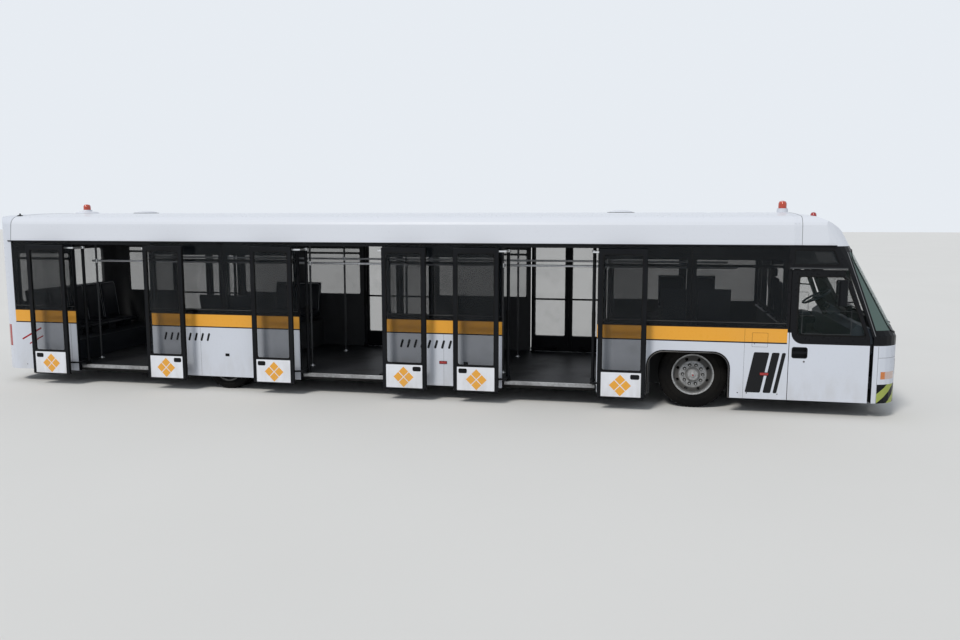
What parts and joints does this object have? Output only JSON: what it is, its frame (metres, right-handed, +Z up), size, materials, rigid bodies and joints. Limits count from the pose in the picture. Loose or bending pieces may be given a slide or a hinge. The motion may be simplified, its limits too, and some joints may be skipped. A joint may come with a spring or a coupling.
{
  "type": "airport apron bus",
  "caption": "Low-floor apron passenger bus with swinging double doors on both sides, a raised cab, steered front wheels and twin rear wheels.",
  "frame": {"origin": "on the ground under the middle of the box round the bus", "axes": "+X forward along the bus, +Y to the left, +Z up"},
  "size_m": [13.8, 3.56, 2.934],
  "materials": {
    "body_white": "gloss white paint with a black window band",
    "glass": "tinted clear",
    "frame": "satin underbody paint",
    "trim": "matt grey lining",
    "dash_plastic": "grained",
    "seat_cloth": "woven",
    "seat_shell": "satin",
    "rail_steel": "brushed",
    "engine_iron": "cast",
    "beacon_lens": "clear orange lens",
    "lamp_lens": "ribbed lens",
    "door_black": "satin charcoal",
    "post_black": "satin charcoal",
    "wheel_steel": "silver paint, dusty",
    "tyre": "matt rubber"
  },
  "bodies": {
    "bus_body": {"floor_frame": "frame", "side_right": "body_white", "side_left": "body_white", "roof": "body_white", "roof_cap_front": "body_white", "rear_end": "body_white", "front_end": "body_white", "end_glazing": "glass", "glass_right": "glass", "glass_left": "glass", "cab_bulkhead": "trim", "dashboard": "dash_plastic", "driver_seat": "seat_cloth", "passenger_seats": "seat_shell", "handrails": "rail_steel", "engine_block": "engine_iron", "wheel_boxes": "trim", "front_axle": "frame", "rear_axle": "frame", "roof_fittings": "beacon_lens", "lamps": "lamp_lens", "wipers": "door_black"},
    "cab_door_right": {"cab_door_right": "body_white"},
    "cab_door_left": {"cab_door_left": "body_white"},
    "knuckle_right": {"knuckle_right": "frame"},
    "knuckle_left": {"knuckle_left": "frame"},
    "tie_rod": {"tie_rod": "frame"},
    "wheel_front_right": {"wheel_front_right": "wheel_steel", "tyre_front_right": "tyre"},
    "wheel_front_left": {"wheel_front_left": "wheel_steel", "tyre_front_left": "tyre"},
    "wheel_rear_right": {"wheel_rear_right": "wheel_steel", "tyre_rear_right": "tyre"},
    "wheel_rear_left": {"wheel_rear_left": "wheel_steel", "tyre_rear_left": "tyre"},
    "post_right_1_rear": {"post_right_1_rear": "post_black"},
    "leaf_right_1_rear": {"leaf_right_1_rear": "door_black"},
    "post_right_1_front": {"post_right_1_front": "post_black"},
    "leaf_right_1_front": {"leaf_right_1_front": "door_black"},
    "post_right_2_rear": {"post_right_2_rear": "post_black"},
    "leaf_right_2_rear": {"leaf_right_2_rear": "door_black"},
    "post_right_2_front": {"post_right_2_front": "post_black"},
    "leaf_right_2_front": {"leaf_right_2_front": "door_black"},
    "post_right_3_rear": {"post_right_3_rear": "post_black"},
    "leaf_right_3_rear": {"leaf_right_3_rear": "door_black"},
    "post_right_3_front": {"post_right_3_front": "post_black"},
    "leaf_right_3_front": {"leaf_right_3_front": "door_black"},
    "post_left_1_rear": {"post_left_1_rear": "post_black"},
    "leaf_left_1_rear": {"leaf_left_1_rear": "door_black"},
    "post_left_1_front": {"post_left_1_front": "post_black"},
    "leaf_left_1_front": {"leaf_left_1_front": "door_black"},
    "post_left_2_rear": {"post_left_2_rear": "post_black"},
    "leaf_left_2_rear": {"leaf_left_2_rear": "door_black"},
    "post_left_2_front": {"post_left_2_front": "post_black"},
    "leaf_left_2_front": {"leaf_left_2_front": "door_black"},
    "post_left_3_rear": {"post_left_3_rear": "post_black"},
    "leaf_left_3_rear": {"leaf_left_3_rear": "door_black"},
    "post_left_3_front": {"post_left_3_front": "post_black"},
    "leaf_left_3_front": {"leaf_left_3_front": "door_black"}
  },
  "joints": [
    {"name": "steer_right", "type": "hinge", "parent": "bus_body", "child": "knuckle_right", "pos_m": [4.19, -1.06, 0.478], "axis": [0, 0, 1], "range_deg": [-40, 40]},
    {"name": "steer_left", "type": "hinge", "parent": "bus_body", "child": "knuckle_left", "pos_m": [4.19, 1.06, 0.478], "axis": [0, 0, 1], "range_deg": [-40, 40]},
    {"name": "tie_rod_right", "type": "hinge", "parent": "knuckle_right", "child": "tie_rod", "pos_m": [3.99, -1.06, 0.383], "axis": [0, 0, 1], "range_deg": [-40, 40]},
    {"name": "roll_front_right", "type": "hinge", "parent": "knuckle_right", "child": "wheel_front_right", "pos_m": [4.19, -1.16, 0.478], "axis": [0, 1, 0], "continuous": true},
    {"name": "roll_front_left", "type": "hinge", "parent": "knuckle_left", "child": "wheel_front_left", "pos_m": [4.19, 1.16, 0.478], "axis": [0, 1, 0], "continuous": true},
    {"name": "roll_rear_right", "type": "hinge", "parent": "bus_body", "child": "wheel_rear_right", "pos_m": [-2.91, -1.18, 0.355], "axis": [0, 1, 0], "continuous": true},
    {"name": "roll_rear_left", "type": "hinge", "parent": "bus_body", "child": "wheel_rear_left", "pos_m": [-2.91, 1.18, 0.355], "axis": [0, 1, 0], "continuous": true},
    {"name": "cab_door_right_swing", "type": "hinge", "parent": "bus_body", "child": "cab_door_right", "pos_m": [6.4675, -1.48, 0.71], "axis": [0, 0, 1], "range_deg": [0, 80]},
    {"name": "cab_door_left_swing", "type": "hinge", "parent": "bus_body", "child": "cab_door_left", "pos_m": [6.4675, 1.48, 0.71], "axis": [0, 0, 1], "range_deg": [-80, 0]},
    {"name": "post_right_1_rear_turn", "type": "hinge", "parent": "bus_body", "child": "post_right_1_rear", "pos_m": [-5.43, -1.33, 1.28], "axis": [0, 0, 1], "range_deg": [0, 120]},
    {"name": "leaf_right_1_rear_turn", "type": "hinge", "parent": "post_right_1_rear", "child": "leaf_right_1_rear", "pos_m": [-5.72176, -1.63212, 1.28], "axis": [0, 0, 1], "range_deg": [-120, 0]},
    {"name": "post_right_1_front_turn", "type": "hinge", "parent": "bus_body", "child": "post_right_1_front", "pos_m": [-4.19, -1.33, 1.28], "axis": [0, 0, 1], "range_deg": [-120, 0]},
    {"name": "leaf_right_1_front_turn", "type": "hinge", "parent": "post_right_1_front", "child": "leaf_right_1_front", "pos_m": [-3.89824, -1.63212, 1.28], "axis": [0, 0, 1], "range_deg": [0, 120]},
    {"name": "post_right_2_rear_turn", "type": "hinge", "parent": "bus_body", "child": "post_right_2_rear", "pos_m": [-1.58, -1.33, 1.28], "axis": [0, 0, 1], "range_deg": [0, 120]},
    {"name": "leaf_right_2_rear_turn", "type": "hinge", "parent": "post_right_2_rear", "child": "leaf_right_2_rear", "pos_m": [-1.87176, -1.63212, 1.28], "axis": [0, 0, 1], "range_deg": [-120, 0]},
    {"name": "post_right_2_front_turn", "type": "hinge", "parent": "bus_body", "child": "post_right_2_front", "pos_m": [-0.34, -1.33, 1.28], "axis": [0, 0, 1], "range_deg": [-120, 0]},
    {"name": "leaf_right_2_front_turn", "type": "hinge", "parent": "post_right_2_front", "child": "leaf_right_2_front", "pos_m": [-0.04824, -1.63212, 1.28], "axis": [0, 0, 1], "range_deg": [0, 120]},
    {"name": "post_right_3_rear_turn", "type": "hinge", "parent": "bus_body", "child": "post_right_3_rear", "pos_m": [1.55, -1.33, 1.28], "axis": [0, 0, 1], "range_deg": [0, 120]},
    {"name": "leaf_right_3_rear_turn", "type": "hinge", "parent": "post_right_3_rear", "child": "leaf_right_3_rear", "pos_m": [1.25824, -1.63212, 1.28], "axis": [0, 0, 1], "range_deg": [-120, 0]},
    {"name": "post_right_3_front_turn", "type": "hinge", "parent": "bus_body", "child": "post_right_3_front", "pos_m": [2.79, -1.33, 1.28], "axis": [0, 0, 1], "range_deg": [-120, 0]},
    {"name": "leaf_right_3_front_turn", "type": "hinge", "parent": "post_right_3_front", "child": "leaf_right_3_front", "pos_m": [3.08176, -1.63212, 1.28], "axis": [0, 0, 1], "range_deg": [0, 120]},
    {"name": "post_left_1_rear_turn", "type": "hinge", "parent": "bus_body", "child": "post_left_1_rear", "pos_m": [-5.43, 1.33, 1.28], "axis": [0, 0, 1], "range_deg": [0, 120]},
    {"name": "leaf_left_1_rear_turn", "type": "hinge", "parent": "post_left_1_rear", "child": "leaf_left_1_rear", "pos_m": [-5.02248, 1.43161, 1.28], "axis": [0, 0, 1], "range_deg": [-120, 0]},
    {"name": "post_left_1_front_turn", "type": "hinge", "parent": "bus_body", "child": "post_left_1_front", "pos_m": [-4.19, 1.33, 1.28], "axis": [0, 0, 1], "range_deg": [-120, 0]},
    {"name": "leaf_left_1_front_turn", "type": "hinge", "parent": "post_left_1_front", "child": "leaf_left_1_front", "pos_m": [-4.59752, 1.43161, 1.28], "axis": [0, 0, 1], "range_deg": [0, 120]},
    {"name": "post_left_2_rear_turn", "type": "hinge", "parent": "bus_body", "child": "post_left_2_rear", "pos_m": [-1.58, 1.33, 1.28], "axis": [0, 0, 1], "range_deg": [0, 120]},
    {"name": "leaf_left_2_rear_turn", "type": "hinge", "parent": "post_left_2_rear", "child": "leaf_left_2_rear", "pos_m": [-1.17248, 1.43161, 1.28], "axis": [0, 0, 1], "range_deg": [-120, 0]},
    {"name": "post_left_2_front_turn", "type": "hinge", "parent": "bus_body", "child": "post_left_2_front", "pos_m": [-0.34, 1.33, 1.28], "axis": [0, 0, 1], "range_deg": [-120, 0]},
    {"name": "leaf_left_2_front_turn", "type": "hinge", "parent": "post_left_2_front", "child": "leaf_left_2_front", "pos_m": [-0.74752, 1.43161, 1.28], "axis": [0, 0, 1], "range_deg": [0, 120]},
    {"name": "post_left_3_rear_turn", "type": "hinge", "parent": "bus_body", "child": "post_left_3_rear", "pos_m": [1.55, 1.33, 1.28], "axis": [0, 0, 1], "range_deg": [0, 120]},
    {"name": "leaf_left_3_rear_turn", "type": "hinge", "parent": "post_left_3_rear", "child": "leaf_left_3_rear", "pos_m": [1.95752, 1.43161, 1.28], "axis": [0, 0, 1], "range_deg": [-120, 0]},
    {"name": "post_left_3_front_turn", "type": "hinge", "parent": "bus_body", "child": "post_left_3_front", "pos_m": [2.79, 1.33, 1.28], "axis": [0, 0, 1], "range_deg": [-120, 0]},
    {"name": "leaf_left_3_front_turn", "type": "hinge", "parent": "post_left_3_front", "child": "leaf_left_3_front", "pos_m": [2.38248, 1.43161, 1.28], "axis": [0, 0, 1], "range_deg": [0, 120]}
  ],
  "couplings": [
    {"joint": "steer_left", "follows": "steer_right", "ratio": 1},
    {"joint": "tie_rod_right", "follows": "steer_right", "ratio": -1},
    {"joint": "leaf_right_1_rear_turn", "follows": "post_right_1_rear_turn", "ratio": -1},
    {"joint": "post_right_1_front_turn", "follows": "post_right_1_rear_turn", "ratio": -1},
    {"joint": "leaf_right_1_front_turn", "follows": "post_right_1_rear_turn", "ratio": 1},
    {"joint": "leaf_right_2_rear_turn", "follows": "post_right_2_rear_turn", "ratio": -1},
    {"joint": "post_right_2_front_turn", "follows": "post_right_2_rear_turn", "ratio": -1},
    {"joint": "leaf_right_2_front_turn", "follows": "post_right_2_rear_turn", "ratio": 1},
    {"joint": "leaf_right_3_rear_turn", "follows": "post_right_3_rear_turn", "ratio": -1},
    {"joint": "post_right_3_front_turn", "follows": "post_right_3_rear_turn", "ratio": -1},
    {"joint": "leaf_right_3_front_turn", "follows": "post_right_3_rear_turn", "ratio": 1},
    {"joint": "leaf_left_1_rear_turn", "follows": "post_left_1_rear_turn", "ratio": -1},
    {"joint": "post_left_1_front_turn", "follows": "post_left_1_rear_turn", "ratio": -1},
    {"joint": "leaf_left_1_front_turn", "follows": "post_left_1_rear_turn", "ratio": 1},
    {"joint": "leaf_left_2_rear_turn", "follows": "post_left_2_rear_turn", "ratio": -1},
    {"joint": "post_left_2_front_turn", "follows": "post_left_2_rear_turn", "ratio": -1},
    {"joint": "leaf_left_2_front_turn", "follows": "post_left_2_rear_turn", "ratio": 1},
    {"joint": "leaf_left_3_rear_turn", "follows": "post_left_3_rear_turn", "ratio": -1},
    {"joint": "post_left_3_front_turn", "follows": "post_left_3_rear_turn", "ratio": -1},
    {"joint": "leaf_left_3_front_turn", "follows": "post_left_3_rear_turn", "ratio": 1}
  ]
}
